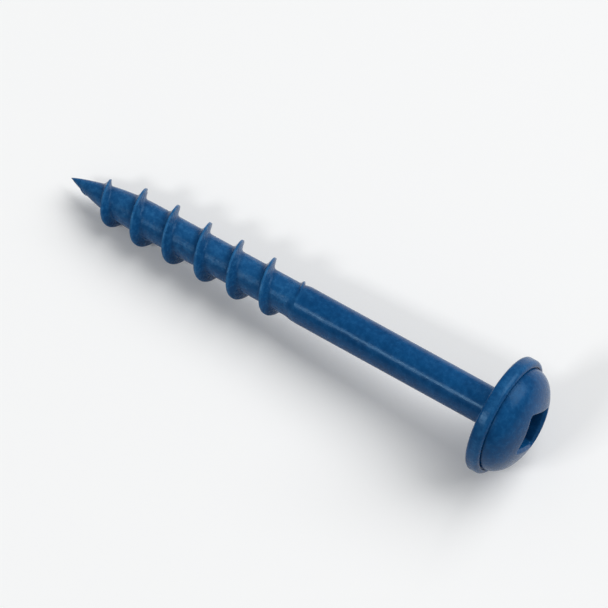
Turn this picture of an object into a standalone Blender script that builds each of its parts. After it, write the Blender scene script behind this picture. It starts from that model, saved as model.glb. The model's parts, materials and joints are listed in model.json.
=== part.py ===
"""A pocket hole screw, No. 8 by 38 mm, lying on the ground as it comes to rest.

It is one piece of coated steel: a washer head with a square socket, a smooth shank, a coarse right-hand
thread and a self-tapping point. The screw is modelled along its own Z, with the bearing face under the head
at z = 0 and the tip below it, and is then laid down with the head towards +X. Sizes are in metres.
"""

import math

import bmesh
import bpy
from mathutils import Matrix

MM = 0.001

# Head: a flange, or washer, with a dome on it
HEAD_HEIGHT = 3.2 * MM
FLANGE_DIAMETER = 9.3 * MM
FLANGE_THICKNESS = 1.1 * MM
FLANGE_TOP_ROUND = 0.35 * MM
FLANGE_BOTTOM_ROUND = 0.25 * MM
GROOVE_DEPTH = 0.09 * MM
GROOVE_FLOOR_WIDTH = 0.06 * MM
FLANGE_LIP = 0.5 * MM  # how far the flange stands out past the dome
DOME_FULLNESS = 2.2  # the exponent of its outline: 2 is an ellipse, and more is flatter on top

# Square socket, slightly tapered, with a chamfered mouth and a shallow pyramid for a floor
SOCKET_WIDTH = 2.85 * MM
SOCKET_DEPTH = 2.2 * MM
SOCKET_TAPER = 0.07 * MM
SOCKET_FLOOR_DEPTH = 0.4 * MM
MOUTH_CHAMFER = 0.22 * MM
SOCKET_TURN = math.radians(65)

# Shank and point. Distances named from the tip run along the axis.
LENGTH = 38.1 * MM
SHANK_DIAMETER = 2.95 * MM
NECK_FILLET = 0.35 * MM
ROOT_DIAMETER = 2.7 * MM
SHANK_STEP_LENGTH = 0.5 * MM
SHANK_STEP_FROM_TIP = 20.4 * MM
POINT_LENGTH = 7.4 * MM
POINT_FULLNESS = 0.85  # the exponent of its outline: 1 is a sine, and less is blunter at the tip

# Thread
PITCH = 2.9 * MM
THREAD_HEIGHT = 0.75 * MM
CREST_WIDTH = 0.12 * MM
FLANK_ANGLE = math.radians(20)
FILLET_ANGLE = math.radians(45)
FILLET_SHARE = 0.3  # the part of the height that the root fillet takes
THREAD_FROM_TIP = 0.6 * MM
FULL_THREAD_FROM_TIP = 4.6 * MM
RUN_OUT_FROM_TIP = 17.8 * MM
THREAD_END_FROM_TIP = 21.8 * MM
THREAD_PHASE = math.radians(210)
BURIAL = 0.2 * MM  # how far the ridge reaches under the root's surface
END_DROP = 0.08 * MM  # how far the ridge has sunk under that surface where it ends

# Notch that a cutting disc leaves in the point, which makes the screw cut its own hole
NOTCH_DISC_RADIUS = 8.0 * MM
NOTCH_DISC_THICKNESS = 3.0 * MM
NOTCH_DEEPEST_FROM_TIP = 1.0 * MM
NOTCH_FLOOR_OFF_AXIS = 0.12 * MM
NOTCH_TURN = math.radians(137)

# How it lies: the facet of the head's rim that is underneath
FACET_UNDERNEATH = 2

# Facets
SIDES = 40
DOME_STEPS = 8
ROUND_STEPS = 3
POINT_STEPS = 9
DISC_SIDES = 96
SHARP_ANGLE = math.radians(35)
WELD_DISTANCE = 1e-6
SLIVER = 0.004 * MM

BLUE = (0.004, 0.065, 0.220, 1.0)
ROUGHNESS = 0.36
METALLIC = 0.0

FLANGE_RADIUS = FLANGE_DIAMETER / 2
DOME_RADIUS = FLANGE_RADIUS - FLANGE_LIP
SHANK_RADIUS = SHANK_DIAMETER / 2
ROOT_RADIUS = ROOT_DIAMETER / 2


def clear_scene():
    for obj in list(bpy.data.objects):
        bpy.data.objects.remove(obj, do_unlink=True)


def new_collection(name):
    collection = bpy.data.collections.new(name)
    bpy.context.scene.collection.children.link(collection)
    return collection


def coating():
    material = bpy.data.materials.new("blue_coating")
    material.use_nodes = True
    shader = material.node_tree.nodes["Principled BSDF"]
    shader.inputs["Base Color"].default_value = BLUE
    shader.inputs["Roughness"].default_value = ROUGHNESS
    shader.inputs["Metallic"].default_value = METALLIC
    return material


def arc(centre, radius, start, end, steps):
    """Points of an arc in the (radius, height) plane, with both ends, from angle start to angle end."""
    angles = [start + (end - start) * i / steps for i in range(steps + 1)]
    return [(centre[0] + radius * math.cos(a), centre[1] + radius * math.sin(a)) for a in angles]


def root_radius(from_tip):
    """The core's radius under the thread: an ogive that runs into the straight root."""
    share = min(from_tip / POINT_LENGTH, 1.0) ** POINT_FULLNESS
    return ROOT_RADIUS * math.sin(math.pi / 2 * share)


def dome_outline():
    """Crown to foot, a quarter of a superellipse."""
    foot = FLANGE_THICKNESS - GROOVE_DEPTH
    power = 2 / DOME_FULLNESS
    points = []
    for i in range(DOME_STEPS + 1):
        turn = math.pi / 2 * i / DOME_STEPS
        radius = DOME_RADIUS * math.sin(turn) ** power
        points.append((radius, foot + (HEAD_HEIGHT - foot) * max(math.cos(turn), 0.0) ** power))
    return points


def flange_outline():
    """The groove's floor, the rim with its two roundings, and the edge of the bearing face."""
    groove = (DOME_RADIUS + GROOVE_FLOOR_WIDTH, FLANGE_THICKNESS - GROOVE_DEPTH)
    top = (FLANGE_RADIUS - FLANGE_TOP_ROUND, FLANGE_THICKNESS - FLANGE_TOP_ROUND)
    bottom = (FLANGE_RADIUS - FLANGE_BOTTOM_ROUND, FLANGE_BOTTOM_ROUND)
    return (
        [groove]
        + arc(top, FLANGE_TOP_ROUND, math.pi / 2, 0, ROUND_STEPS)
        + arc(bottom, FLANGE_BOTTOM_ROUND, 0, -math.pi / 2, ROUND_STEPS)
    )


def shank_outline():
    """The neck's fillet, the plain shank and its step down to the thread's root."""
    neck = (SHANK_RADIUS + NECK_FILLET, -NECK_FILLET)
    step_bottom = SHANK_STEP_FROM_TIP - LENGTH
    return arc(neck, NECK_FILLET, math.pi / 2, math.pi, ROUND_STEPS) + [
        (SHANK_RADIUS, step_bottom + SHANK_STEP_LENGTH),
        (ROOT_RADIUS, step_bottom),
    ]


def point_outline():
    """The end of the straight root, the ogive and the tip."""
    distances = [POINT_LENGTH * (1 - i / POINT_STEPS) for i in range(POINT_STEPS)]
    return [(root_radius(d), d - LENGTH) for d in distances] + [(0.0, -LENGTH)]


def turned(name, outline, steps, collection):
    """An object turned about Z from an outline of (radius, height) points, which runs from top to bottom."""
    mesh = bpy.data.meshes.new(name)
    mesh.from_pydata([(r, 0.0, z) for r, z in outline], [(i, i + 1) for i in range(len(outline) - 1)], [])
    obj = bpy.data.objects.new(name, mesh)
    collection.objects.link(obj)
    screw = obj.modifiers.new("turn", "SCREW")
    screw.steps = steps
    screw.render_steps = steps
    screw.use_merge_vertices = True
    screw.merge_threshold = WELD_DISTANCE
    return obj


def smooth_rise(share):
    """0 to 1 as share goes from 0 to 1, level at both ends."""
    share = min(max(share, 0.0), 1.0)
    return share * share * (3 - 2 * share)


def thread_share(from_tip):
    """How much of the full ridge stands: it grows from the point, and fades out onto the shank."""
    grown = smooth_rise((from_tip - THREAD_FROM_TIP) / (FULL_THREAD_FROM_TIP - THREAD_FROM_TIP))
    left = smooth_rise((THREAD_END_FROM_TIP - from_tip) / (THREAD_END_FROM_TIP - RUN_OUT_FROM_TIP))
    return min(grown, left)


def thread_section(from_tip):
    """The ridge's section, as (radius, height along the axis) points, from the tip's side to the head's."""
    root = root_radius(from_tip)
    share = thread_share(from_tip)
    height = (THREAD_HEIGHT + END_DROP) * share - END_DROP
    fillet_top = (THREAD_HEIGHT * FILLET_SHARE + END_DROP) * share - END_DROP
    buried = min(BURIAL, root / 2)
    crest_half = CREST_WIDTH / 2
    flank_half = crest_half + (height - fillet_top) * math.tan(FLANK_ANGLE)
    foot_half = flank_half + (fillet_top + buried) * math.tan(FILLET_ANGLE)
    side = [(root - buried, foot_half), (root + fillet_top, flank_half), (root + height, crest_half)]
    return [(r, -z) for r, z in side] + [(r, z) for r, z in reversed(side)]


def thread_ridge(collection):
    """The thread, lofted section by section along its helix, because no two of its end sections are alike."""
    mesh = bpy.data.meshes.new("thread_ridge")
    ridge = bmesh.new()
    per_step = PITCH / SIDES
    count = math.floor((THREAD_END_FROM_TIP - THREAD_FROM_TIP) / per_step)
    rings = []
    for i in range(count + 1):
        from_tip = THREAD_FROM_TIP + i * per_step
        turn = THREAD_PHASE + 2 * math.pi * i / SIDES
        ring = []
        for radius, along in thread_section(from_tip):
            place = (radius * math.cos(turn), radius * math.sin(turn), from_tip - LENGTH + along)
            ring.append(ridge.verts.new(place))
        rings.append(ring)
    corners = len(rings[0])
    for ring, after in zip(rings, rings[1:]):
        for j in range(corners):
            k = (j + 1) % corners
            ridge.faces.new((ring[j], ring[k], after[k], after[j]))
    ridge.faces.new(rings[0])
    ridge.faces.new(rings[-1])
    bmesh.ops.recalc_face_normals(ridge, faces=ridge.faces)
    ridge.to_mesh(mesh)
    ridge.free()
    obj = bpy.data.objects.new("thread_ridge", mesh)
    collection.objects.link(obj)
    return obj


def socket_cutter(collection):
    """Four-sided, so turned in four steps: its outline gives the corners, which lie sqrt(2) further out."""
    floor = HEAD_HEIGHT - SOCKET_DEPTH
    above = HEAD_HEIGHT + MOUTH_CHAMFER
    half_widths = [
        (0.0, above),
        (SOCKET_WIDTH / 2 + 2 * MOUTH_CHAMFER, above),
        (SOCKET_WIDTH / 2, HEAD_HEIGHT - MOUTH_CHAMFER),
        (SOCKET_WIDTH / 2 - SOCKET_TAPER, floor),
        (0.0, floor - SOCKET_FLOOR_DEPTH),
    ]
    outline = [(half * math.sqrt(2), z) for half, z in half_widths]
    cutter = turned("socket_cutter", outline, 4, collection)
    cutter.rotation_euler.z = SOCKET_TURN
    return cutter


def notch_cutter(collection):
    """The disc that notches the point. One flat side is the radial plane of the cutting edge."""
    mesh = bpy.data.meshes.new("notch_cutter")
    disc = bmesh.new()
    bmesh.ops.create_cone(
        disc,
        cap_ends=True,
        segments=DISC_SIDES,
        radius1=NOTCH_DISC_RADIUS,
        radius2=NOTCH_DISC_RADIUS,
        depth=NOTCH_DISC_THICKNESS,
    )
    disc.to_mesh(mesh)
    disc.free()
    cutter = bpy.data.objects.new("notch_cutter", mesh)
    collection.objects.link(cutter)
    centre = (
        NOTCH_FLOOR_OFF_AXIS + NOTCH_DISC_RADIUS,
        -NOTCH_DISC_THICKNESS / 2,
        NOTCH_DEEPEST_FROM_TIP - LENGTH,
    )
    cutter.matrix_world = (
        Matrix.Rotation(NOTCH_TURN, 4, "Z")
        @ Matrix.Translation(centre)
        @ Matrix.Rotation(math.pi / 2, 4, "X")
    )
    return cutter


def weld_slivers(mesh):
    """Closes up the slivers that the cuts leave, which are too thin to keep."""
    welded = bmesh.new()
    welded.from_mesh(mesh)
    bmesh.ops.triangulate(welded, faces=welded.faces)
    bmesh.ops.remove_doubles(welded, verts=welded.verts, dist=SLIVER)
    bmesh.ops.dissolve_degenerate(welded, edges=welded.edges, dist=SLIVER)
    welded.to_mesh(mesh)
    welded.free()


def apply_booleans(blank, operations):
    """Joins or cuts each helper in turn, then keeps the result as the object's own mesh, shaded smooth."""
    for operation, helper in operations:
        boolean = blank.modifiers.new(helper.name, "BOOLEAN")
        boolean.operation = operation
        boolean.object = helper
    bpy.context.view_layer.update()
    graph = bpy.context.evaluated_depsgraph_get()
    mesh = bpy.data.meshes.new_from_object(blank.evaluated_get(graph))
    weld_slivers(mesh)
    mesh.shade_smooth()
    mesh.set_sharp_from_angle(angle=SHARP_ANGLE)
    blank.modifiers.clear()
    blank.data = mesh


def resting_tilt(points):
    """The angle between the axis and the ground. Each point is (downwards, sideways, along the axis)."""
    lowest = max(p.x for p in points)
    rim = min((p for p in points if p.x > lowest - WELD_DISTANCE), key=lambda p: p.z)
    slopes = [(rim.x - p.x) / (rim.z - p.z) for p in points if p.z < rim.z - WELD_DISTANCE]
    return math.atan(min(slopes))


def lay_down(screw):
    """Rolls the screw onto a facet of its rim, tips it until the thread touches too, and centres its box."""
    roll = Matrix.Rotation(-2 * math.pi * (FACET_UNDERNEATH + 0.5) / SIDES, 4, "Z")
    tilt = resting_tilt([roll @ v.co for v in screw.data.vertices])
    lying = Matrix.Rotation(math.pi / 2 - tilt, 4, "Y") @ roll
    points = [lying @ v.co for v in screw.data.vertices]
    middle_x = (min(p.x for p in points) + max(p.x for p in points)) / 2
    middle_y = (min(p.y for p in points) + max(p.y for p in points)) / 2
    bottom = min(p.z for p in points)
    screw.matrix_world = Matrix.Translation((-middle_x, -middle_y, -bottom)) @ lying


def main():
    clear_scene()
    parts = new_collection("pocket_hole_screw")
    cutters = new_collection("cutters")
    outline = dome_outline() + flange_outline() + shank_outline() + point_outline()
    screw = turned("screw", outline, SIDES, parts)
    helpers = [
        ("UNION", thread_ridge(cutters)),
        ("DIFFERENCE", socket_cutter(cutters)),
        ("DIFFERENCE", notch_cutter(cutters)),
    ]
    for _, helper in helpers:
        helper.hide_render = True
        helper.display_type = "WIRE"
    apply_booleans(screw, helpers)
    screw.data.materials.clear()
    screw.data.materials.append(coating())
    lay_down(screw)


main()
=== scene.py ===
import json
import math

import bmesh
import bpy
import numpy as np
from mathutils import Matrix, Vector


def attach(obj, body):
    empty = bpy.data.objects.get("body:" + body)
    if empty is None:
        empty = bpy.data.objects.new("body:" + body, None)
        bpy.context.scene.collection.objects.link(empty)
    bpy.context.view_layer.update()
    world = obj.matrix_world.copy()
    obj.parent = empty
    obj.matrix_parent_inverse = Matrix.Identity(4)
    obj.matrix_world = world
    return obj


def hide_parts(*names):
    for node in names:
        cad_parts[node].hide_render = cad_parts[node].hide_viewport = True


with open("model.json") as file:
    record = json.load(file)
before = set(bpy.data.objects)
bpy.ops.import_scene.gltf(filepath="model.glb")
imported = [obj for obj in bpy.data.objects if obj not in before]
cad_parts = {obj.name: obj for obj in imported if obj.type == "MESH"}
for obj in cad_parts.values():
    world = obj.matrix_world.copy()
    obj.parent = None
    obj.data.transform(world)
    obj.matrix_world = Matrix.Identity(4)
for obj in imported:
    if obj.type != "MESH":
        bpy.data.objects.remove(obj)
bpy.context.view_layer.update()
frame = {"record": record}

# The screw's fine surface replaces the CAD node. It is modelled along its own Z, in metres, with the bearing
# face under the head at z = 0 and the tip below it, and it lies where the node lies.
MM = 0.001
BEARING_FACE = frame["record"]["mounts"][0]

# Head
HEAD_HEIGHT = 3.2 * MM
CAD_SIDES = 40
CAD_FLANGE_RADIUS = 4.65 * MM
# The flange reaches out to the flats of the CAD rim, so that it lies where a flat does.
FLANGE_RADIUS = CAD_FLANGE_RADIUS * math.cos(math.pi / CAD_SIDES)
FLANGE_THICKNESS = 1.1 * MM
FLANGE_TOP_ROUND = 0.38 * MM
FLANGE_BOTTOM_ROUND = 0.25 * MM
FLANGE_LIP = 0.5 * MM
GROOVE_DEPTH = 0.1 * MM
GROOVE_WIDTH = 0.1 * MM
GROOVE_PROFILE = ((0.75, 0.3), (0.5, 1.1))  # shares of its width, from the dome out, and of its depth
DOME_RADIUS = FLANGE_RADIUS - FLANGE_LIP
DOME_FOOT = FLANGE_THICKNESS - GROOVE_DEPTH
DOME_FULLNESS = 2.2
NECK_FILLET = 0.35 * MM

# Square socket
SOCKET_HALF = 1.425 * MM
SOCKET_CORNER = 0.16 * MM
SOCKET_DEPTH = 2.2 * MM
SOCKET_TAPER = 0.07 * MM
SOCKET_FLOOR = HEAD_HEIGHT - SOCKET_DEPTH  # the height at which the walls end and the pyramid starts
PYRAMID_DEPTH = 0.4 * MM
PYRAMID_FULLNESS = 0.9
PYRAMID_POINT = 0.97  # the share of the pyramid's depth that its blunt point reaches
MOUTH_CHAMFER = 0.24 * MM
SOCKET_TURN = math.radians(65)
CROWN_RING = 2.75 * MM  # inside this radius the crown's rings turn from round to square

# Shank and point, with distances from the tip along the axis
LENGTH = 38.1 * MM
SHANK_RADIUS = 1.475 * MM
ROOT_RADIUS = 1.35 * MM
STEP_LENGTH = 0.5 * MM
STEP_FROM_TIP = 20.4 * MM
POINT_LENGTH = 7.4 * MM
POINT_FULLNESS = 0.85

# Thread
PITCH = 2.9 * MM
THREAD_HEIGHT = 0.75 * MM
CREST_HALF = 0.05 * MM
CREST_ROUND = 0.04 * MM
FLANK_ANGLE = math.radians(19)
ROOT_FILLET = 0.26 * MM
LOWEST_WIDTH = 0.25  # the share of the full ridge's width with which it starts and ends
WIDTH_POWER = 0.6
THREAD_FROM_TIP = 0.6 * MM
FULL_THREAD_FROM_TIP = 4.6 * MM
RUN_OUT_FROM_TIP = 17.8 * MM
THREAD_END_FROM_TIP = 21.8 * MM
THREAD_PHASE = math.radians(210)  # the angle round the screw at which the thread starts

# Notch
NOTCH_DISC_RADIUS = 8.0 * MM
NOTCH_DISC_THICKNESS = 3.0 * MM
NOTCH_DEEPEST_FROM_TIP = 1.0 * MM
NOTCH_FLOOR_OFF_AXIS = 0.12 * MM
NOTCH_TURN = math.radians(137)

# How it lies
ROLL = math.radians(-22.5)

# Mesh round the screw
COLUMNS = 144
CORNER_COLUMNS = 8  # of them, on each corner of a rounded square
TURNS = 8  # whole turns of the helical grid, which reaches past the thread's end
FIRST_TURN = THREAD_PHASE + 2 * math.pi * (PITCH / 2 - THREAD_FROM_TIP) / PITCH  # of the first column

# Mesh along the ridge's section
CREST_STEPS = 3
FLANK_STEPS = 4
FILLET_STEPS = 6
VALLEY_SHARES = (0.3, 0.65, 1.0)

# Mesh along the head's outline
SHANK_STEPS = 16
NECK_STEPS = 8
UNDERSIDE_STEPS = 6
RIM_BOTTOM_STEPS = 8
RIM_TOP_STEPS = 10
DOME_STEPS = 22
CROWN_STEPS = 8

# Mesh down the socket. The mouth's pairs are shares of the chamfer's width and depth, soft at both ends.
MOUTH_PROFILE = ((0.10, 0.03), (0.22, 0.12), (0.50, 0.42), (0.80, 0.74), (0.94, 0.90), (1.0, 1.08))
WALL_SHARES = (0.12, 0.3, 0.5, 0.7, 0.88, 0.97, 1.0)
PYRAMID_SHARES = (0.06, 0.2, 0.45, 0.75, 0.94)

# Cut, shading and weld
NOTCH_DISC_SIDES = 360
SHARP_ANGLE = math.radians(40)
WELD = 0.002 * MM

# Worn edges with a painted highlight: how thin the coating and how strong the painted highlight are there,
# and how far from the edge
CREST_WEAR_AND_HIGHLIGHT_DEPTH = 0.2  # as a share of the ridge's height
CREST_WEAR_AND_HIGHLIGHT_FROM = 0.12  # a ridge with less than this share of its height has no worn crest
CREST_WEAR_AND_HIGHLIGHT_RISE = 0.12  # the further share over which the wear comes in
LOWEST_SHARE = 0.1  # a lower ridge is marked as if it had this share of its height
STEP_WEAR_AND_HIGHLIGHT = 0.6
STEP_WEAR_AND_HIGHLIGHT_WIDTH = 0.25 * MM
TIP_WEAR_AND_HIGHLIGHT = 0.8
TIP_WEAR_AND_HIGHLIGHT_LENGTH = 1.2 * MM
RIM_WEAR_AND_HIGHLIGHT = 0.5
RIM_WEAR_AND_HIGHLIGHT_WIDTH = 0.25 * MM
RIM_WEAR_AND_HIGHLIGHT_HEIGHT = 0.75 * FLANGE_THICKNESS
RIM_WEAR_AND_HIGHLIGHT_HALF = 0.15 * MM

# Corners darkened with painted shade, and how far from the corner
ROOT_CORNER_WIDTH = 0.28 * MM
ROOT_CORNER_PLACE = 0.85  # as a share of the ridge's half width
ROOT_CORNER_RISE = 0.4
GROOVE_CORNER_WIDTH = 0.25 * MM
NECK_CORNER_WIDTH = 0.6 * MM

# Painted glint on the socket's floor
GLINT_ABOVE_FLOOR = 0.05 * MM
GLINT_FADE = 0.1 * MM
GLINT_REACH = 1.45 * SOCKET_HALF
GLINT_LOWEST = 0.2 * MM

# How rough each stretch was made
ROLLED_RELIEF = 1.0
HEAD_RELIEF = 0.4
SHANK_RELIEF = 0.3

# Colours, linear
BLUE = (0.0025, 0.070, 0.215, 1.0)
BLUE_DEEP = (0.0012, 0.043, 0.145, 1.0)
BLUE_PALE = (0.024, 0.132, 0.310, 1.0)
BLUE_CORNER_SHADE = (0.0008, 0.026, 0.100, 1.0)
SOCKET_FLOOR_GLINT = (0.055, 0.085, 0.135, 1.0)
SPECULAR_TINT = (0.42, 0.74, 1.0, 1.0)
FLOOR_WHITE = (0.95, 0.95, 0.945, 1.0)
FLOOR_BOUNCE = (0.50, 0.50, 0.50, 1.0)
WORLD_COLOUR = (0.94, 0.97, 1.0, 1.0)

# Coating noises, as (scale in a metre, detail, roughness)
BROAD_NOISE = (420.0, 3.0, 0.5)
MOTTLE_NOISE = (2600.0, 4.0, 0.6)
STREAK_NOISE = (5200.0, 3.0, 0.6)
STREAK_SCALE_ALONG = 0.12  # of the scale across the screw, so that a streak is longer than it is wide

# What the coating makes of its noises, as (noise from, noise to, result from, result to)
TONE_RANGE = (0.36, 0.64, 0.0, 1.0)
RELIEF_WEAR_RANGE = (0.44, 0.66, 0.35, 1.0)
EDGE_WEAR_AND_HIGHLIGHT_RANGE = (0.32, 0.62, 0.25, 0.85)
MOTTLE_ROUGHNESS_RANGE = (0.3, 0.7, 0.17, 0.29)
STREAK_ROUGHNESS_RANGE = (0.3, 0.7, -0.02, 0.04)

# Strengths in the coating
TONE_FROM_BROAD = 0.5
RELIEF_WEAR = 0.62
CORNER_STRENGTH = 0.45
GLINT_STRENGTH = 0.55
RELIEF_ROUGHNESS = 0.02
BUMP_FROM_MOTTLE = 0.6
BUMP_DISTANCE = 0.08 * MM
COATING_IOR = 1.31

# Floor
FLOOR_SIZE = 4.0
FLOOR_ROUGHNESS = 0.9
FLOOR_SPECULAR = 0.2

# Light
WORLD_STRENGTH = 0.27
WINDOW_PLACE = (0.40, 0.66, 0.98)
WINDOW_SIZE = (1.3, 1.0)
WINDOW_WATTS = 14.2
LINE_PLACE = (-0.31, -0.64, 0.64)
LINE_SIZE = (0.28, 0.14)
LINE_WATTS = 2.05

# Camera
ELEVATION = math.radians(64)
AZIMUTH = math.radians(33.3)
LENS = 240.0
DISTANCE = 0.30
CLIP_START = 0.01
TARGET = Vector((0.0005, 0.0, 0.0035))


def smooth_rise(share):
    """0 to 1 as share goes from 0 to 1, level at both ends."""
    share = np.clip(share, 0.0, 1.0)
    return share * share * (3 - 2 * share)


def nearness(distance, width):
    """1 where the distance is 0, falling to 0 where it is the width."""
    return smooth_rise(1 - distance / width)


def point_radius(from_tip):
    """The core under the thread, without the step up to the shank: an ogive and the straight root."""
    share = np.clip(from_tip / POINT_LENGTH, 0.0, 1.0) ** POINT_FULLNESS
    return ROOT_RADIUS * np.sin(np.pi / 2 * share)


def core_radius(from_tip):
    """The core under the thread with the step up to the shank, which is thicker than the root."""
    step = smooth_rise((from_tip - STEP_FROM_TIP) / STEP_LENGTH)
    return point_radius(from_tip) + (SHANK_RADIUS - ROOT_RADIUS) * step


def thread_share(crest_from_tip):
    """How much of the full ridge stands: it grows from the point, and fades out onto the shank."""
    grown = smooth_rise((crest_from_tip - THREAD_FROM_TIP) / (FULL_THREAD_FROM_TIP - THREAD_FROM_TIP))
    left = smooth_rise((THREAD_END_FROM_TIP - crest_from_tip) / (THREAD_END_FROM_TIP - RUN_OUT_FROM_TIP))
    return np.minimum(grown, left)


def ridge_width(share):
    """The ridge's width as a share of the full ridge's: a low ridge is narrower."""
    return LOWEST_WIDTH + (1 - LOWEST_WIDTH) * share**WIDTH_POWER


def arc(centre, radius, start, end, steps):
    """Points on an arc, both ends among them."""
    angles = [start + (end - start) * i / steps for i in range(steps + 1)]
    return [(centre[0] + radius * math.cos(a), centre[1] + radius * math.sin(a)) for a in angles]


def half_section():
    """The full ridge's half section, from crest to valley, as (distance from the crest's middle, height)."""
    points = [(0.0, THREAD_HEIGHT)]
    edge_centre = (CREST_HALF, THREAD_HEIGHT - CREST_ROUND)
    points += arc(edge_centre, CREST_ROUND, math.pi / 2, FLANK_ANGLE, CREST_STEPS)
    flank_top = points[-1]
    fillet_top = ROOT_FILLET * (1 - math.sin(FLANK_ANGLE))
    flank_bottom = flank_top[0] + (flank_top[1] - fillet_top) * math.tan(FLANK_ANGLE)
    for i in range(1, FLANK_STEPS):
        share = i / FLANK_STEPS
        points.append((
            flank_top[0] + (flank_bottom - flank_top[0]) * share,
            flank_top[1] + (fillet_top - flank_top[1]) * share,
        ))
    fillet_centre = (flank_bottom + ROOT_FILLET * math.cos(FLANK_ANGLE), ROOT_FILLET)
    points += arc(fillet_centre, ROOT_FILLET, math.pi + FLANK_ANGLE, math.pi * 1.5, FILLET_STEPS)
    foot = points[-1][0]
    points += [(foot + (PITCH / 2 - foot) * share, 0.0) for share in VALLEY_SHARES]
    return np.array(points)


HALF = half_section()
FOOT_INDEX = len(HALF) - 1 - len(VALLEY_SHARES)  # the point where the fillet meets the root
ROWS = 2 * len(HALF) - 1
LAST_COLUMN = TURNS * COLUMNS


def section_offsets(share):
    """Where the section's points lie along the axis, from one valley's middle to the next."""
    offsets = HALF[:, 0].copy()
    offsets[: FOOT_INDEX + 1] *= ridge_width(share)
    foot = offsets[FOOT_INDEX]
    offsets[FOOT_INDEX + 1 :] = foot + (PITCH / 2 - foot) * np.array(VALLEY_SHARES)
    return np.concatenate([-offsets[::-1], offsets[1:]])


def ridge_height(offset, share):
    """The ridge's height over the root at a distance from the crest's middle."""
    return share * np.interp(np.abs(offset) / ridge_width(share), HALF[:, 0], HALF[:, 1])


def surface_radius(from_tip, crest):
    """The shaft's radius where the nearest crest is at that distance from the tip."""
    share = float(thread_share(crest))
    ridge = point_radius(from_tip) + ridge_height(from_tip - crest, share)
    return np.maximum(core_radius(from_tip), ridge)


class Surface:
    """Vertices and faces of one closed surface, in the screw's own frame."""

    def __init__(self):
        self.points = []
        self.faces = []

    def add(self, radius, turn, z):
        """One vertex. Returns its number."""
        self.points.append((radius * math.cos(turn), radius * math.sin(turn), z))
        return len(self.points) - 1

    def column(self, radii, turn, from_tip):
        """One vertex for each radius, all at one angle round the screw."""
        return [self.add(radius, turn, place - LENGTH) for radius, place in zip(radii, from_tip)]

    def square_ring(self, half, corner, heights):
        """One vertex for each column of a rounded square, each at its own height."""
        outline = rounded_square(half, corner)
        return [self.add(radius, turn, z) for (radius, turn), z in zip(outline, heights)]

    def quad(self, a, b, c, d):
        """A face, or a triangle where two of its corners are one."""
        corners = []
        for corner in (a, b, c, d):
            if corner not in corners:
                corners.append(corner)
        if len(corners) > 2:
            self.faces.append(corners)

    def patch(self, grid):
        """Faces of a grid whose columns go round and whose rows go up."""
        for left, right in zip(grid, grid[1:]):
            for k in range(len(left) - 1):
                self.quad(left[k], right[k], right[k + 1], left[k + 1])


def turn_at(i):
    """The angle round the screw at which column i stands."""
    return FIRST_TURN + 2 * math.pi * i / COLUMNS


def crest_at(i):
    """How far the crest in column i of the helical grid is from the tip."""
    return PITCH * (0.5 + i / COLUMNS)


def helical_grid(surface):
    """Columns of the thread, turn after turn. The top row of each is the bottom row one turn further on."""
    grid = []
    for i in range(LAST_COLUMN + 1):
        crest = crest_at(i)
        from_tip = crest + section_offsets(float(thread_share(crest)))
        radii = surface_radius(from_tip, crest)
        in_last_turn = i > LAST_COLUMN - COLUMNS
        kept = ROWS if in_last_turn else ROWS - 1
        grid.append(surface.column(radii[:kept], turn_at(i), from_tip))
    for i in range(LAST_COLUMN - COLUMNS + 1):
        grid[i].append(grid[i + COLUMNS][0])
    return grid


def tip_grid(surface, grid):
    """Columns under the helical grid's first turn, whose rows run out into the apex."""
    apex = grid[0][0]
    shares = (section_offsets(float(thread_share(crest_at(0)))) + PITCH / 2) / PITCH
    tip = [[apex] * ROWS]
    for i in range(1, COLUMNS):
        from_tip = PITCH * i / COLUMNS * shares
        radii = surface_radius(from_tip, crest_at(i - COLUMNS))
        inner = surface.column(radii[1:-1], turn_at(i), from_tip[1:])
        tip.append([apex] + inner + [grid[i][0]])
    tip.append(grid[0])
    return tip


def closing_grid(surface, grid):
    """Columns over the helical grid's last turn, whose rows close up until the ring on top is level."""
    top = PITCH * (TURNS + 1)
    shares = (section_offsets(0.0) + PITCH / 2) / PITCH
    closing = [grid[LAST_COLUMN]]
    for j in range(1, COLUMNS):
        low = PITCH * (TURNS + j / COLUMNS)
        from_tip = low + (top - low) * shares
        upper = surface.column(core_radius(from_tip)[1:], turn_at(j), from_tip[1:])
        closing.append([grid[LAST_COLUMN - COLUMNS + j][-1]] + upper)
    seam = grid[LAST_COLUMN][-1]
    closing.append([seam] * ROWS)
    return closing


def build_shaft(surface):
    """Point, thread and the start of the plain shank. Its rows follow the thread. Returns the top ring."""
    grid = helical_grid(surface)
    tip = tip_grid(surface, grid)
    closing = closing_grid(surface, grid)
    for columns in (grid, tip, closing):
        surface.patch(columns)
    return [column[-1] for column in closing[:-1]]


def dome_height(radius):
    """The height over the bearing face of the dome and the crown."""
    share = min(radius / DOME_RADIUS, 1.0)
    return DOME_FOOT + (HEAD_HEIGHT - DOME_FOOT) * (1 - share**DOME_FULLNESS) ** (1 / DOME_FULLNESS)


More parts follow.
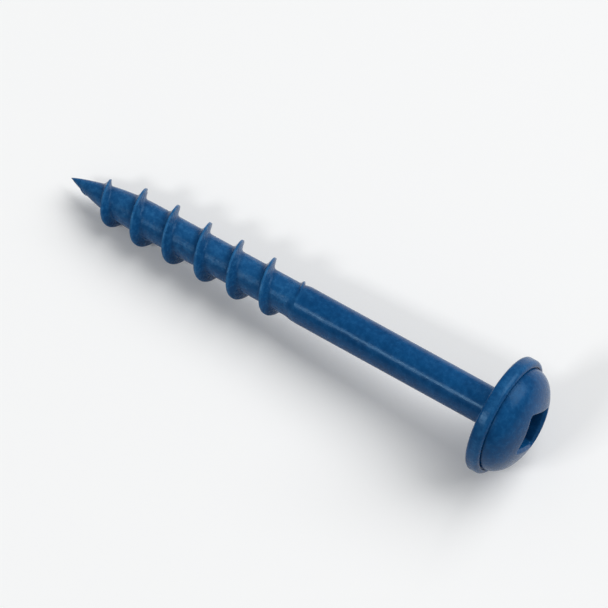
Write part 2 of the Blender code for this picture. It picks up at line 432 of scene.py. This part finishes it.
def head_outline():
    """(radius, height) points from the plain shank to the crown's last round ring."""
    shaft_top = PITCH * (TURNS + 1) - LENGTH
    rise = -NECK_FILLET - shaft_top
    points = [(SHANK_RADIUS, shaft_top + rise * i / SHANK_STEPS) for i in range(1, SHANK_STEPS)]
    under = SHANK_RADIUS + NECK_FILLET
    points += arc((under, -NECK_FILLET), NECK_FILLET, math.pi, math.pi / 2, NECK_STEPS)
    rim = FLANGE_RADIUS - FLANGE_BOTTOM_ROUND
    points += [(under + (rim - under) * i / UNDERSIDE_STEPS, 0.0) for i in range(1, UNDERSIDE_STEPS)]
    rim_bottom = (rim, FLANGE_BOTTOM_ROUND)
    points += arc(rim_bottom, FLANGE_BOTTOM_ROUND, -math.pi / 2, 0, RIM_BOTTOM_STEPS)
    rim_top = (FLANGE_RADIUS - FLANGE_TOP_ROUND, FLANGE_THICKNESS - FLANGE_TOP_ROUND)
    points += arc(rim_top, FLANGE_TOP_ROUND, 0, math.pi / 2, RIM_TOP_STEPS)
    for out, down in GROOVE_PROFILE:
        points.append((DOME_RADIUS + GROOVE_WIDTH * out, FLANGE_THICKNESS - GROOVE_DEPTH * down))
    for i in range(DOME_STEPS + 1):
        turn = math.pi / 2 * (1 - i / DOME_STEPS)
        radius = DOME_RADIUS * math.sin(turn) ** (2 / DOME_FULLNESS)
        if radius < CROWN_RING:
            break
        points.append((radius, dome_height(radius)))
    return points


def rounded_square(half, corner):
    """(radius, turn) of each column on a rounded square, with as many columns on every corner."""
    side = COLUMNS // 4
    first = round((SOCKET_TURN + math.pi / 4 - FIRST_TURN) / (2 * math.pi) * COLUMNS)
    ring = [None] * COLUMNS
    for quarter in range(4):
        for step in range(side):
            # Step 0 is the middle of a corner, and step side / 2 is the middle of a side.
            if step <= CORNER_COLUMNS / 2:
                angle = step / CORNER_COLUMNS * math.pi / 2
                x = half - corner + corner * math.cos(math.pi / 4 + angle)
                y = half - corner + corner * math.sin(math.pi / 4 + angle)
            elif step < side - CORNER_COLUMNS / 2:
                run = (step - CORNER_COLUMNS / 2) / (side - CORNER_COLUMNS)
                x = (half - corner) * (1 - 2 * run)
                y = half
            else:
                angle = (step - side) / CORNER_COLUMNS * math.pi / 2
                x = -half + corner - corner * math.sin(math.pi / 4 + angle)
                y = half - corner + corner * math.cos(math.pi / 4 + angle)
            column = first + quarter * side + step
            turn = turn_at(first) - math.pi / 4 + math.atan2(y, x) + quarter * math.pi / 2
            ring[column % COLUMNS] = (math.hypot(x, y), turn)
    return ring


def crown_rings(surface, last_round, mouth):
    """Rings that turn from the dome's last round one to the square edge of the socket's mouth."""
    rings = []
    for i in range(1, CROWN_STEPS + 1):
        share = i / CROWN_STEPS
        ring = []
        for j, (mouth_radius, mouth_turn) in enumerate(mouth):
            x = (1 - share) * last_round * math.cos(turn_at(j)) + share * mouth_radius * math.cos(mouth_turn)
            y = (1 - share) * last_round * math.sin(turn_at(j)) + share * mouth_radius * math.sin(mouth_turn)
            radius = math.hypot(x, y)
            ring.append(surface.add(radius, math.atan2(y, x), dome_height(radius)))
        rings.append(ring)
    return rings


def socket_rings(surface, edge_heights):
    """Rings down the mouth's chamfer, the tapered walls and the pyramid in the floor."""
    rings = []
    for across, down in MOUTH_PROFILE:
        left = MOUTH_CHAMFER * (1 - across)
        heights = [z - MOUTH_CHAMFER * down for z in edge_heights]
        rings.append(surface.square_ring(SOCKET_HALF + left, SOCKET_CORNER + left, heights))
    # The walls start where the chamfer ends.
    wall_tops = heights
    for share in WALL_SHARES:
        heights = [top + (SOCKET_FLOOR - top) * share for top in wall_tops]
        rings.append(surface.square_ring(SOCKET_HALF - SOCKET_TAPER * share, SOCKET_CORNER, heights))
    for share in PYRAMID_SHARES:
        left = 1 - share
        heights = [SOCKET_FLOOR - PYRAMID_DEPTH * share**PYRAMID_FULLNESS] * COLUMNS
        rings.append(surface.square_ring((SOCKET_HALF - SOCKET_TAPER) * left, SOCKET_CORNER * left, heights))
    return rings


def build_head(surface, shaft_ring):
    """Shank, neck, flange and dome from the shaft's top ring up, then the crown and the socket."""
    outline = head_outline()
    rings = [shaft_ring]
    for radius, z in outline:
        rings.append([surface.add(radius, turn_at(j), z) for j in range(COLUMNS)])
    mouth = rounded_square(SOCKET_HALF + MOUTH_CHAMFER, SOCKET_CORNER + MOUTH_CHAMFER)
    rings += crown_rings(surface, outline[-1][0], mouth)
    rings += socket_rings(surface, [dome_height(radius) for radius, _ in mouth])
    for low, high in zip(rings, rings[1:]):
        for j in range(COLUMNS):
            k = (j + 1) % COLUMNS
            surface.quad(low[j], low[k], high[k], high[j])
    bottom = surface.add(0.0, 0.0, SOCKET_FLOOR - PYRAMID_DEPTH * PYRAMID_POINT)
    for j in range(COLUMNS):
        surface.quad(rings[-1][j], rings[-1][(j + 1) % COLUMNS], bottom, bottom)


def notch_disc():
    """The disc that cuts the notch. It is removed after the cut."""
    mesh = bpy.data.meshes.new("notch_disc")
    disc = bmesh.new()
    bmesh.ops.create_cone(
        disc,
        cap_ends=True,
        segments=NOTCH_DISC_SIDES,
        radius1=NOTCH_DISC_RADIUS,
        radius2=NOTCH_DISC_RADIUS,
        depth=NOTCH_DISC_THICKNESS,
    )
    disc.to_mesh(mesh)
    disc.free()
    cutter = bpy.data.objects.new("notch_disc", mesh)
    bpy.context.scene.collection.objects.link(cutter)
    centre = (
        NOTCH_FLOOR_OFF_AXIS + NOTCH_DISC_RADIUS,
        -NOTCH_DISC_THICKNESS / 2,
        NOTCH_DEEPEST_FROM_TIP - LENGTH,
    )
    cutter.matrix_world = (
        Matrix.Rotation(NOTCH_TURN, 4, "Z")
        @ Matrix.Translation(centre)
        @ Matrix.Rotation(math.pi / 2, 4, "X")
    )
    return cutter


def cut_notch(screw):
    """Takes the notch of the self-tapping point out of the screw's mesh."""
    cutter = notch_disc()
    boolean = screw.modifiers.new("notch", "BOOLEAN")
    boolean.operation = "DIFFERENCE"
    boolean.object = cutter
    bpy.context.view_layer.update()
    graph = bpy.context.evaluated_depsgraph_get()
    mesh = bpy.data.meshes.new_from_object(screw.evaluated_get(graph))
    screw.modifiers.clear()
    screw.data = mesh
    bpy.data.objects.remove(cutter)


def weld(mesh):
    """Merges vertices that lie together: rows that close up, and slivers that the cut leaves."""
    welded = bmesh.new()
    welded.from_mesh(mesh)
    bmesh.ops.remove_doubles(welded, verts=welded.verts, dist=WELD)
    bmesh.ops.dissolve_degenerate(welded, edges=welded.edges, dist=WELD)
    welded.to_mesh(mesh)
    welded.free()


def nearest_crest(from_tip, turn):
    """The distance from the tip of the crest that is nearest, at that angle round the screw."""
    base = THREAD_FROM_TIP + PITCH * (turn - THREAD_PHASE) / (2 * np.pi)
    return base + PITCH * np.round((from_tip - base) / PITCH)


def worn_lit_edge_mark(radius, z, crest, on_thread):
    """Where the coating is thin and a highlight is painted: on the crests, at the shank's step, at the tip
    and on the rim.
    """
    from_tip = z + LENGTH
    share = thread_share(crest)
    height = (radius - point_radius(from_tip)) / (THREAD_HEIGHT * np.maximum(share, LOWEST_SHARE))
    crest_wear_and_highlight = smooth_rise((height - (1 - CREST_WEAR_AND_HIGHLIGHT_DEPTH)) / CREST_WEAR_AND_HIGHLIGHT_DEPTH)
    crest_wear_and_highlight = crest_wear_and_highlight * on_thread * smooth_rise((share - CREST_WEAR_AND_HIGHLIGHT_FROM) / CREST_WEAR_AND_HIGHLIGHT_RISE)
    from_step = np.abs(from_tip - STEP_FROM_TIP - STEP_LENGTH)
    above_rim = np.maximum(np.abs(z - RIM_WEAR_AND_HIGHLIGHT_HEIGHT) - RIM_WEAR_AND_HIGHLIGHT_HALF, 0)
    from_rim = np.hypot(radius - FLANGE_RADIUS, above_rim)
    return np.maximum.reduce([
        crest_wear_and_highlight,
        STEP_WEAR_AND_HIGHLIGHT * nearness(from_step, STEP_WEAR_AND_HIGHLIGHT_WIDTH),
        TIP_WEAR_AND_HIGHLIGHT * nearness(from_tip, TIP_WEAR_AND_HIGHLIGHT_LENGTH),
        RIM_WEAR_AND_HIGHLIGHT * nearness(from_rim, RIM_WEAR_AND_HIGHLIGHT_WIDTH),
    ])


def corner_shade_mark(radius, z, crest, on_thread):
    """Painted shade in the corners: at the ridge's feet, in the groove round the dome and at the neck."""
    share = thread_share(crest)
    foot = HALF[FOOT_INDEX, 0] * ridge_width(share)
    from_foot = np.abs(np.abs(z + LENGTH - crest) - foot * ROOT_CORNER_PLACE)
    root_corner = nearness(from_foot, ROOT_CORNER_WIDTH) * smooth_rise(share / ROOT_CORNER_RISE)
    return np.maximum.reduce([
        np.where(on_thread, root_corner, 0.0),
        nearness(np.hypot(radius - DOME_RADIUS, z - FLANGE_THICKNESS), GROOVE_CORNER_WIDTH),
        nearness(np.hypot(radius - SHANK_RADIUS, z), NECK_CORNER_WIDTH),
    ])


def socket_glint_mark(radius, z):
    """The socket's floor, where a pale glint is painted."""
    low = smooth_rise((SOCKET_FLOOR + GLINT_ABOVE_FLOOR - z) / GLINT_FADE)
    in_socket = (radius < GLINT_REACH) & (z > GLINT_LOWEST)
    return np.where(in_socket, low, 0.0)


def relief_mark(z):
    """How rough the screw was made: the rolled stretch most, then the head, then the plain shank."""
    plain = np.where(z > 0, HEAD_RELIEF, SHANK_RELIEF)
    return np.where(z + LENGTH < STEP_FROM_TIP, ROLLED_RELIEF, plain)


def mark_surface(mesh):
    """Writes the four marks on the vertices, for the material to read."""
    points = np.empty(len(mesh.vertices) * 3)
    mesh.vertices.foreach_get("co", points)
    x, y, z = points.reshape(-1, 3).T
    radius = np.hypot(x, y)
    from_tip = z + LENGTH
    crest = nearest_crest(from_tip, np.arctan2(y, x))
    on_thread = (from_tip > THREAD_FROM_TIP) & (from_tip < THREAD_END_FROM_TIP)
    marks = {
        "worn_lit_edge": worn_lit_edge_mark(radius, z, crest, on_thread),
        "corner": corner_shade_mark(radius, z, crest, on_thread),
        "floor": socket_glint_mark(radius, z),
        "relief": relief_mark(z),
    }
    for name, values in marks.items():
        attribute = mesh.attributes.new(name, "FLOAT", "POINT")
        attribute.data.foreach_set("value", values.astype(np.float32))


class Nodes:
    """Short calls for building one material's node tree."""

    def __init__(self, name):
        self.material = bpy.data.materials.new(name)
        self.material.use_nodes = True
        self.tree = self.material.node_tree
        self.shader = self.tree.nodes["Principled BSDF"]

    def add(self, kind, **values):
        node = self.tree.nodes.new(kind)
        for name, value in values.items():
            setattr(node, name, value)
        return node

    def link(self, source, target):
        self.tree.links.new(source, target)

    def noise(self, coordinates, scale, detail, roughness):
        node = self.add("ShaderNodeTexNoise")
        self.link(coordinates, node.inputs["Vector"])
        node.inputs["Scale"].default_value = scale
        node.inputs["Detail"].default_value = detail
        node.inputs["Roughness"].default_value = roughness
        return node.outputs["Fac"]

    def spread(self, source, low, high, to_low, to_high):
        """Maps source from low..high to to_low..to_high, clamped."""
        node = self.add("ShaderNodeMapRange")
        self.link(source, node.inputs["Value"])
        for name, value in (("From Min", low), ("From Max", high), ("To Min", to_low), ("To Max", to_high)):
            node.inputs[name].default_value = value
        return node.outputs["Result"]

    def maths(self, operation, first, second):
        node = self.add("ShaderNodeMath", operation=operation)
        for socket, value in zip(node.inputs, (first, second)):
            if isinstance(value, (int, float)):
                socket.default_value = value
            else:
                self.link(value, socket)
        return node.outputs[0]

    def average(self, first, second, share):
        """Both values mixed, with share as the part of the first."""
        first_part = self.maths("MULTIPLY", first, share)
        second_part = self.maths("MULTIPLY", second, 1 - share)
        return self.maths("ADD", first_part, second_part)

    def mix(self, factor, first, second):
        """Two colours mixed, with factor as the part of the second."""
        node = self.add("ShaderNodeMix", data_type="RGBA")
        self.link(factor, node.inputs["Factor"])
        for name, value in (("A", first), ("B", second)):
            socket = [s for s in node.inputs if s.name == name and s.type == "RGBA"][0]
            if isinstance(value, tuple):
                socket.default_value = value
            else:
                self.link(value, socket)
        return [s for s in node.outputs if s.type == "RGBA"][0]

    def mark(self, name):
        """A mark that the mesh's vertices carry."""
        return self.add("ShaderNodeAttribute", attribute_name=name).outputs["Fac"]

    def marked(self, name, strength):
        """A mark times a number or another value."""
        return self.maths("MULTIPLY", self.mark(name), strength)


def screw_coordinates(nodes, place):
    """The screw's own coordinates, for a mesh that lies at place, and the same for streaks along it."""
    own_frame = nodes.add("ShaderNodeMapping", vector_type="TEXTURE")
    own_frame.inputs["Location"].default_value = place.to_translation()
    own_frame.inputs["Rotation"].default_value = place.to_euler()
    nodes.link(nodes.add("ShaderNodeTexCoord").outputs["Object"], own_frame.inputs["Vector"])
    along = nodes.add("ShaderNodeMapping")
    along.inputs["Scale"].default_value = (1.0, 1.0, STREAK_SCALE_ALONG)
    nodes.link(own_frame.outputs["Vector"], along.inputs["Vector"])
    return own_frame.outputs["Vector"], along.outputs["Vector"]


def blue_coating(place):
    """A satin blue coating: mottled, with painted shade in the corners, thin and pale on the edges with a
    painted highlight, and a painted glint on the socket's floor.
    """
    nodes = Nodes("blue_coating_fine")
    own, along = screw_coordinates(nodes, place)
    broad = nodes.noise(own, *BROAD_NOISE)
    mottle = nodes.noise(own, *MOTTLE_NOISE)
    streaks = nodes.noise(along, *STREAK_NOISE)

    tone = nodes.average(broad, mottle, TONE_FROM_BROAD)
    colour = nodes.mix(nodes.spread(tone, *TONE_RANGE), BLUE_DEEP, BLUE)
    worn = nodes.marked("relief", nodes.spread(mottle, *RELIEF_WEAR_RANGE))
    colour = nodes.mix(nodes.maths("MULTIPLY", worn, RELIEF_WEAR), colour, BLUE_PALE)
    # Thin coating and a painted highlight make the edges pale.
    worn_lit_edge = nodes.marked("worn_lit_edge", nodes.spread(mottle, *EDGE_WEAR_AND_HIGHLIGHT_RANGE))
    colour = nodes.mix(worn_lit_edge, colour, BLUE_PALE)
    # Painted shade in the corners.
    colour = nodes.mix(nodes.marked("corner", CORNER_STRENGTH), colour, BLUE_CORNER_SHADE)
    # A pale grey painted glint on the socket's floor.
    colour = nodes.mix(nodes.marked("floor", GLINT_STRENGTH), colour, SOCKET_FLOOR_GLINT)
    nodes.link(colour, nodes.shader.inputs["Base Color"])

    mottled = nodes.spread(mottle, *MOTTLE_ROUGHNESS_RANGE)
    streaked = nodes.spread(streaks, *STREAK_ROUGHNESS_RANGE)
    rough = nodes.maths("ADD", mottled, streaked)
    rough = nodes.maths("ADD", rough, nodes.marked("relief", RELIEF_ROUGHNESS))
    nodes.link(rough, nodes.shader.inputs["Roughness"])
    nodes.shader.inputs["IOR"].default_value = COATING_IOR
    nodes.shader.inputs["Specular Tint"].default_value = SPECULAR_TINT

    bump = nodes.add("ShaderNodeBump")
    nodes.link(nodes.mark("relief"), bump.inputs["Strength"])
    bump.inputs["Distance"].default_value = BUMP_DISTANCE
    nodes.link(nodes.average(mottle, streaks, BUMP_FROM_MOTTLE), bump.inputs["Height"])
    nodes.link(bump.outputs["Normal"], nodes.shader.inputs["Normal"])
    return nodes.material


def resting_place():
    """Takes the screw's own frame to where the CAD node lies."""
    towards_head = -Vector(BEARING_FACE["axis"])
    tilt = math.asin(towards_head.z)
    centre = Vector(BEARING_FACE["pos_m"])
    centre.y = 0.0
    laid_down = Matrix.Rotation(math.pi / 2 - tilt, 4, "Y")
    return Matrix.Translation(centre) @ laid_down @ Matrix.Rotation(ROLL, 4, "Z")


def build_screw():
    """The whole screw as one mesh object, with its place in the mesh."""
    surface = Surface()
    shaft_ring = build_shaft(surface)
    build_head(surface, shaft_ring)
    mesh = bpy.data.meshes.new("pocket_hole_screw")
    mesh.from_pydata(surface.points, [], surface.faces)
    weld(mesh)
    screw = bpy.data.objects.new("screw_surface", mesh)
    bpy.context.scene.collection.objects.link(screw)
    cut_notch(screw)
    weld(screw.data)
    mark_surface(screw.data)
    screw.data.shade_smooth()
    screw.data.set_sharp_from_angle(angle=SHARP_ANGLE)
    place = resting_place()
    screw.data.transform(place)
    screw.data.materials.clear()
    screw.data.materials.append(blue_coating(place))
    return screw


def make_floor():
    """A pale floor that looks white to the camera and in reflections, and throws half the light back."""
    bpy.ops.mesh.primitive_plane_add(size=FLOOR_SIZE, location=(0.0, 0.0, 0.0))
    floor = bpy.context.object
    floor.name = "floor"
    nodes = Nodes("pale_floor")
    path = nodes.add("ShaderNodeLightPath").outputs
    seen = nodes.maths("ADD", path["Is Camera Ray"], path["Is Glossy Ray"])
    seen = nodes.maths("MINIMUM", nodes.maths("ADD", seen, path["Is Transmission Ray"]), 1.0)
    nodes.link(nodes.mix(seen, FLOOR_BOUNCE, FLOOR_WHITE), nodes.shader.inputs["Base Color"])
    nodes.shader.inputs["Roughness"].default_value = FLOOR_ROUGHNESS
    nodes.shader.inputs["Specular IOR Level"].default_value = FLOOR_SPECULAR
    floor.data.materials.append(nodes.material)
    return floor


def area_light(name, place, size, watts):
    """A soft rectangular lamp aimed at the screw, with its width as near to X as it can run."""
    light = bpy.data.lights.new(name, "AREA")
    light.shape = "RECTANGLE"
    light.size, light.size_y = size
    light.energy = watts
    back = (Vector(place) - TARGET).normalized()
    across = (Vector((1.0, 0.0, 0.0)) - back * back.x).normalized()
    lamp = bpy.data.objects.new(name, light)
    lamp.location = place
    lamp.rotation_euler = Matrix((across, back.cross(across), back)).transposed().to_euler()
    bpy.context.scene.collection.objects.link(lamp)


def light_scene():
    """A soft white world, a wide window, and a lamp whose reflection is the bright line on the shank."""
    world = bpy.data.worlds.new("soft_white")
    world.use_nodes = True
    background = world.node_tree.nodes["Background"]
    background.inputs["Color"].default_value = WORLD_COLOUR
    background.inputs["Strength"].default_value = WORLD_STRENGTH
    bpy.context.scene.world = world
    area_light("window", WINDOW_PLACE, WINDOW_SIZE, WINDOW_WATTS)
    area_light("line", LINE_PLACE, LINE_SIZE, LINE_WATTS)


def make_camera():
    """Looks down at the screw from the photograph's angle."""
    camera_data = bpy.data.cameras.new("camera")
    camera_data.lens = LENS
    camera_data.clip_start = CLIP_START
    camera = bpy.data.objects.new("camera", camera_data)
    back = Vector((
        math.sin(AZIMUTH) * math.cos(ELEVATION),
        -math.cos(AZIMUTH) * math.cos(ELEVATION),
        math.sin(ELEVATION),
    ))
    camera.location = TARGET + back * DISTANCE
    camera.rotation_euler = (-back).to_track_quat("-Z", "Y").to_euler()
    bpy.context.scene.collection.objects.link(camera)
    bpy.context.scene.camera = camera
    bpy.context.scene.view_settings.view_transform = "Standard"


screw = build_screw()
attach(screw, "root")
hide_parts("screw")
make_floor()
light_scene()
make_camera()
